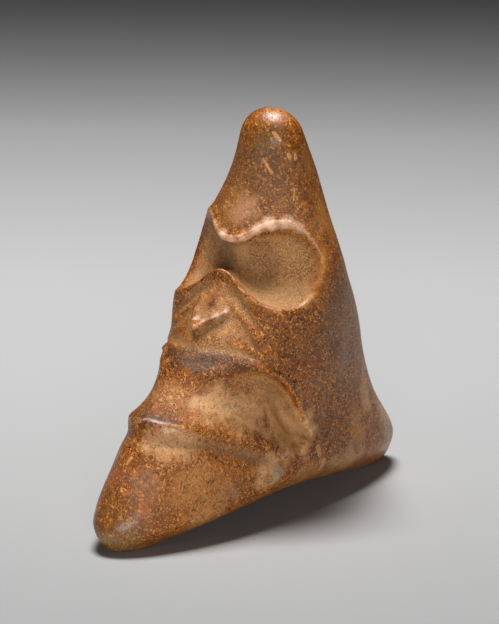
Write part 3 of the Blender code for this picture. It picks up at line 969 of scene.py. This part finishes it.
@dataclass(frozen=True)
class ShellFragment:
    """Node group: one larger fragment of shell, a bent rod cut by the surface."""

    name: str = "shell_fragment"

    def build(self) -> bpy.types.NodeTree:
        """Mask that is 1 within the radius of the line from start to end."""
        sheet, given, out = new_group(
            self.name,
            (
                ("Vector", "NodeSocketVector"),
                ("Start", "NodeSocketVector"),
                ("End", "NodeSocketVector"),
                ("Radius", "NodeSocketFloat"),
                ("Strength", "NodeSocketFloat"),
            ),
            (("Mask", "NodeSocketFloat"),),
        )
        axis = sheet.vector("SUBTRACT", given.outputs["End"], given.outputs["Start"])
        away = sheet.vector("SUBTRACT", given.outputs["Vector"], given.outputs["Start"])
        onto = sheet.vector("DOT_PRODUCT", away, axis)
        share = sheet.math("DIVIDE", onto, sheet.vector("DOT_PRODUCT", axis, axis), clamp=True)
        gap = sheet.vector("SUBTRACT", away, sheet.vector("SCALE", axis, scale=share))
        inside = sheet.math("DIVIDE", sheet.vector("LENGTH", gap), given.outputs["Radius"])
        mask = sheet.span(inside, 1.15, 0.75)
        sheet.put(out.inputs["Mask"], sheet.math("MULTIPLY", mask, given.outputs["Strength"]))
        return sheet.tree


@dataclass(frozen=True)
class GritBed:
    """Grains of one size: how many to a millimetre, how common, how big and how laid."""

    per_mm: float
    share: float
    size: float
    turn: Point
    darkest: Colour


@dataclass(frozen=True)
class Limestone:
    """Brown shelly limestone, polished on its high places and matt in its hollows.

    Clouds are given by how many there are to a millimetre, and the two cover values say
    how much of the ground colour the grit hides, and how much less it hides under a colour
    patch, painted highlights and shade among them.
    """

    name: str = "limestone"
    deep: Colour = (0.2, 0.055, 0.006)
    middle: Colour = (0.34, 0.105, 0.012)
    light: Colour = (0.54, 0.19, 0.028)
    grit_dark: Colour = (0.05, 0.015, 0.004)
    grit_tan: Colour = (0.78, 0.37, 0.1)
    grit_orange: Colour = (0.56, 0.17, 0.02)
    shell: Colour = (0.72, 0.44, 0.21)
    shell_rim: Colour = (0.1, 0.035, 0.012)
    # Pale colour of the face's worn edges, partly a painted highlight on them.
    worn: Colour = (0.95, 0.56, 0.36)
    pecked: Colour = (0.95, 0.55, 0.24)
    # Darker colour laid into the creases and the holes.
    darkening: Colour = (0.1, 0.045, 0.018)
    polish: float = 0.27
    matt: float = 0.5
    relief_mm: float = 0.5
    relief_strength: float = 0.8
    edge_relief: float = 0.25
    refraction: float = 1.54
    broad_clouds: float = 0.045
    small_clouds: float = 0.32
    sliver: Point = (1.0, 1.0, 0.42)
    cover: float = 0.9
    stain_and_light_cover: float = 0.58
    shell_wander_mm: float = 1.1
    rim_strength: float = 2.4
    crease_darkening: float = 0.45
    hole_darkening: float = 0.85
    most_worn_and_highlight: float = 0.5
    most_pecked: float = 0.85
    face_from: tuple[float, float] = (45.0, 60.0)
    face_to: tuple[float, float] = (166.0, 150.0)

    @property
    def beds(self) -> tuple[GritBed, ...]:
        """The three beds of grit, from the coarsest to the finest."""
        return (
            GritBed(0.9, 0.34, 0.5, (0.4, 1.1, 0.0), self.grit_orange),
            GritBed(1.55, 0.6, 0.46, (1.3, 0.3, 0.7), self.grit_dark),
            GritBed(2.3, 0.55, 0.5, (2.3, 0.2, 1.9), self.grit_dark),
        )

    def ground(self, sheet: Sheet, where: object) -> object:
        """The rock's own colour, in clouds of two sizes."""
        broad = sheet.clouds(where, self.broad_clouds, 4.0, 0.6)
        small = sheet.clouds(where, self.small_clouds, 5.0, 0.68)
        colour = sheet.mix(sheet.span(broad, 0.3, 0.7), self.deep, self.middle)
        return sheet.mix(sheet.span(small, 0.42, 0.75), colour, self.light)

    def grit(
        self, sheet: Sheet, where: object, colour: object, bare: object
    ) -> tuple[object, object]:
        """Lays the beds of broken shell, each turned its own way, over the ground colour.

        Args:
            sheet: The material's sheet.
            where: Place on the stone in millimetres.
            colour: The ground colour.
            bare: Share of the grit that is missing, such as in a smooth vein, a painted highlight
                or painted shade.

        Returns:
            The new colour, and a height that stands where a grain does.
        """
        tree = bpy.data.node_groups["shell_grit"]
        height: object = 0.5
        less = sheet.math("MULTIPLY", bare, self.stain_and_light_cover)
        cover = sheet.math("SUBTRACT", self.cover, less)
        for bed in self.beds:
            laid = sheet.add(
                "ShaderNodeVectorRotate",
                {"Vector": where, "Rotation": bed.turn},
                rotation_type="EULER_XYZ",
            ).outputs["Vector"]
            laid = sheet.vector("MULTIPLY", laid, self.sliver)
            node = sheet.add(
                "ShaderNodeGroup",
                {"Vector": laid, "Scale": bed.per_mm, "Share": bed.share, "Size": bed.size},
                node_tree=tree,
            )
            shade = sheet.span(node.outputs["Shade"], 0.35, 0.65)
            tone = sheet.mix(shade, bed.darkest, self.grit_tan)
            amount = sheet.math("MULTIPLY", node.outputs["Grain"], cover)
            colour = sheet.mix(amount, colour, tone)
            lift = sheet.math("SUBTRACT", node.outputs["Shade"], 0.55)
            height = sheet.math("ADD", height, sheet.math("MULTIPLY", lift, node.outputs["Grain"]))
        return colour, height

    def fragments(self, sheet: Sheet, where: object, colour: object, found: dict) -> object:
        """Lays in the larger shell fragments, each with a darker rim."""
        tree = bpy.data.node_groups["shell_fragment"]
        wander = sheet.add(
            "ShaderNodeTexNoise", {"Vector": where, "Scale": 0.9, "Detail": 2.0}
        ).outputs["Color"]
        wander = sheet.vector("SUBTRACT", wander, (0.5, 0.5, 0.5))
        bent = sheet.vector("ADD", where, sheet.vector("SCALE", wander, scale=self.shell_wander_mm))
        shell: object = 0.0
        for fossil in FOSSILS:
            node = sheet.add("ShaderNodeGroup", node_tree=tree)
            sheet.put(node.inputs["Vector"], bent)
            node.inputs["Start"].default_value = [round(float(v), 2) for v in found[fossil.start]]
            node.inputs["End"].default_value = [round(float(v), 2) for v in found[fossil.end]]
            node.inputs["Radius"].default_value = fossil.radius
            node.inputs["Strength"].default_value = fossil.strength
            shell = sheet.math("MAXIMUM", shell, node.outputs["Mask"])
        streak = sheet.clouds(where, 1.3, 3.0)
        rim = sheet.math("MULTIPLY", sheet.math("SUBTRACT", 1.0, shell), shell)
        streaked = sheet.mix(sheet.span(streak, 0.3, 0.7), self.grit_orange, self.shell)
        colour = sheet.mix(shell, colour, streaked)
        rim = sheet.math("MULTIPLY", rim, self.rim_strength, clamp=True)
        return sheet.mix(rim, colour, self.shell_rim)

    def aged(self, sheet: Sheet, where: object, colour: object) -> object:
        """Pales worn edges, partly as a painted highlight, and pecked hollows, and darkens the
        creases and holes.
        """
        hollow, ridge, crease, hole = (
            sheet.read(name).outputs["Fac"] for name in ("hollow", "ridge", "crease", "hole")
        )
        height_mm = sheet.add("ShaderNodeSeparateXYZ", {"Vector": where}).outputs["Z"]
        on_face = sheet.math(
            "MULTIPLY", sheet.span(height_mm, *self.face_from), sheet.span(height_mm, *self.face_to)
        )
        # Worn colour on the face's edges: partly the rock's wear, partly a painted highlight.
        edge = sheet.math("MULTIPLY", sheet.span(ridge, 0.6, 1.0, 0.0, self.most_worn_and_highlight), on_face)
        worn = sheet.math("MULTIPLY", edge, sheet.span(sheet.clouds(where, 0.7), 0.35, 0.65))
        colour = sheet.mix(worn, colour, self.worn)
        pecks = sheet.span(sheet.clouds(where, 1.6, 3.0, 0.7), 0.4, 0.6, 0.1, self.most_pecked)
        colour = sheet.mix(sheet.math("MULTIPLY", hollow, pecks), colour, self.pecked)
        colour = sheet.mix(sheet.math("MULTIPLY", crease, self.crease_darkening), colour, self.darkening)
        colour = sheet.mix(sheet.math("MULTIPLY", hole, self.hole_darkening), colour, self.darkening)
        return colour

    def surface(self, sheet: Sheet, where: object, height: object) -> tuple[object, object]:
        """Lays the polish and the finest relief.

        Args:
            sheet: The material's sheet.
            where: Place on the stone in millimetres.
            height: Height that the grit gives.

        Returns:
            The roughness, and the normal of the finest relief.
        """
        hollow = sheet.read("hollow").outputs["Fac"]
        ridge = sheet.read("ridge").outputs["Fac"]
        fine = sheet.clouds(where, 2.2, 4.0, 0.7)
        dull = sheet.math("MULTIPLY", sheet.span(fine, 0.35, 0.7), 0.35)
        matt = sheet.math("ADD", hollow, dull, clamp=True)
        height = sheet.math("ADD", height, sheet.math("MULTIPLY", fine, 0.9))
        smoothed = sheet.span(ridge, 0.1, 0.7, 1.0, self.edge_relief)
        height = sheet.math("MULTIPLY", height, smoothed)
        depth = self.relief_mm * MM
        bump = sheet.add(
            "ShaderNodeBump",
            {"Strength": self.relief_strength, "Distance": depth, "Height": height},
        )
        roughness = sheet.span(matt, 0.0, 1.0, self.polish, self.matt)
        return roughness, bump.outputs["Normal"]

    def build(self, found: dict) -> bpy.types.Material:
        """Makes the material.

        Args:
            found: Where each marking pixel falls on the stone, in millimetres.

        Returns:
            The finished material.
        """
        material = bpy.data.materials.new(self.name)
        material.use_nodes = True
        sheet = Sheet(material.node_tree)
        shader = material.node_tree.nodes["Principled BSDF"]
        where = sheet.add("ShaderNodeTexCoord").outputs["Object"]
        where = sheet.vector("SCALE", where, scale=1 / MM)
        # The colour patches lay the rock's stains, and also painted highlights and painted shade.
        stain_and_light = sheet.read("stain_and_light")
        colour = self.ground(sheet, where)
        mottled = sheet.span(sheet.clouds(where, 0.5, 4.0, 0.7), 0.25, 0.6, 0.6, 1.0)
        stain_and_light_share = sheet.math("MULTIPLY", stain_and_light.outputs["Alpha"], mottled)
        colour = sheet.mix(stain_and_light_share, colour, stain_and_light.outputs["Color"])
        colour, height = self.grit(sheet, where, colour, stain_and_light_share)
        colour = self.fragments(sheet, where, colour, found)
        sheet.put(shader.inputs["Base Color"], self.aged(sheet, where, colour))
        roughness, normal = self.surface(sheet, where, height)
        sheet.put(shader.inputs["Roughness"], roughness)
        sheet.put(shader.inputs["Normal"], normal)
        shader.inputs["IOR"].default_value = self.refraction
        return material


@dataclass(frozen=True)
class PaleBoard:
    """Pale matt board of the studio floor, paler in a band behind the stone and darker in front of
    it and far behind.

    Each stop has its distance behind the stone in metres, and how pale the board is.
    """

    stops: Knots = ((-0.2, 0.4), (0.1, 0.47), (0.45, 0.57), (0.9, 0.62), (1.2, 0.5), (1.7, 0.27))
    behind: Point = (-0.62, 0.78, 0.0)
    roughness: float = 0.85

    def build(self) -> bpy.types.Material:
        """Makes the material."""
        material = bpy.data.materials.new("pale_board")
        material.use_nodes = True
        sheet = Sheet(material.node_tree)
        shader = material.node_tree.nodes["Principled BSDF"]
        where = sheet.add("ShaderNodeTexCoord").outputs["Object"]
        depth = sheet.vector("DOT_PRODUCT", where, self.behind)
        first, last = self.stops[0][0], self.stops[-1][0]
        node = sheet.add("ShaderNodeValToRGB")
        ramp_stops = node.color_ramp.elements
        ramp_stops[0].position = 0.0
        ramp_stops[1].position = 1.0
        for place, _ in self.stops[1:-1]:
            ramp_stops.new((place - first) / (last - first))
        for stop, (_, pale) in zip(ramp_stops, self.stops):
            stop.color = (pale, pale, pale, 1.0)
        share = sheet.math("DIVIDE", sheet.math("SUBTRACT", depth, first), last - first, clamp=True)
        sheet.put(node.inputs["Fac"], share)
        sheet.put(shader.inputs["Base Color"], node.outputs["Color"])
        shader.inputs["Roughness"].default_value = self.roughness
        shader.inputs["Specular IOR Level"].default_value = 0.2
        return material


@dataclass(frozen=True)
class Softbox:
    """A square soft light."""

    name: str
    place: Point
    aim: Point
    size: float
    power: float

    def build(self) -> None:
        """Hangs the light."""
        data = bpy.data.lights.new(self.name, "AREA")
        data.size = self.size
        data.energy = self.power
        light = bpy.data.objects.new(self.name, data)
        light.location = self.place
        away = Vector(self.aim) - Vector(self.place)
        light.rotation_euler = away.to_track_quat("-Z", "Y").to_euler()
        bpy.context.collection.objects.link(light)


@dataclass(frozen=True)
class Studio:
    """Pale floor, graded from front to back, and plain soft light."""

    floor_half: float = 9.0
    fill: float = 0.01
    lights: tuple[Softbox, ...] = (
        Softbox("overhead", (-0.14, 0.06, 1.25), (-0.1, 0.04, 0.0), 0.46, 17.0),
        Softbox("front", (0.85, -1.05, 0.22), (0.0, 0.0, 0.08), 0.4, 8.5),
    )

    def build(self) -> None:
        """Lays the floor and hangs the lights."""
        shape = bmesh.new()
        bmesh.ops.create_grid(shape, x_segments=8, y_segments=8, size=self.floor_half)
        mesh = bpy.data.meshes.new("floor")
        shape.to_mesh(mesh)
        shape.free()
        mesh.materials.append(PaleBoard().build())
        floor = bpy.data.objects.new("floor", mesh)
        bpy.context.collection.objects.link(floor)
        for light in self.lights:
            light.build()
        world = bpy.data.worlds.new("studio")
        world.use_nodes = True
        world.node_tree.nodes["Background"].inputs["Color"].default_value = (1.0, 1.0, 1.0, 1.0)
        world.node_tree.nodes["Background"].inputs["Strength"].default_value = self.fill
        bpy.context.scene.world = world
        bpy.context.scene.view_settings.view_transform = "Standard"
        bpy.context.scene.view_settings.look = "Medium High Contrast"


@dataclass
class ThreePointedStone:
    """The stone itself: one carved piece."""

    camera: PhotoCamera
    grid: StoneMesh = field(default_factory=StoneMesh)

    def build(self) -> bpy.types.Object:
        """Builds and dresses the stone in place of its plain solid."""
        mesh = self.grid.build()
        found = Weathering(self.grid, self.camera).apply(mesh)
        ShellGrit().build()
        ShellFragment().build()
        mesh.materials.append(Limestone().build(found))
        stone = bpy.data.objects.new(NODE + "_carved", mesh)
        bpy.context.collection.objects.link(stone)
        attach(stone, "root")
        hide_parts(NODE)
        LOG.info("%s: %d faces", stone.name, len(mesh.polygons))
        return stone


def main() -> None:
    """Builds the camera, the studio and the stone."""
    logging.basicConfig(level=logging.INFO, format="%(name)s %(message)s")
    camera = PhotoCamera()
    camera.build()
    Studio().build()
    ThreePointedStone(camera).build()


if __name__ == "__main__":
    main()
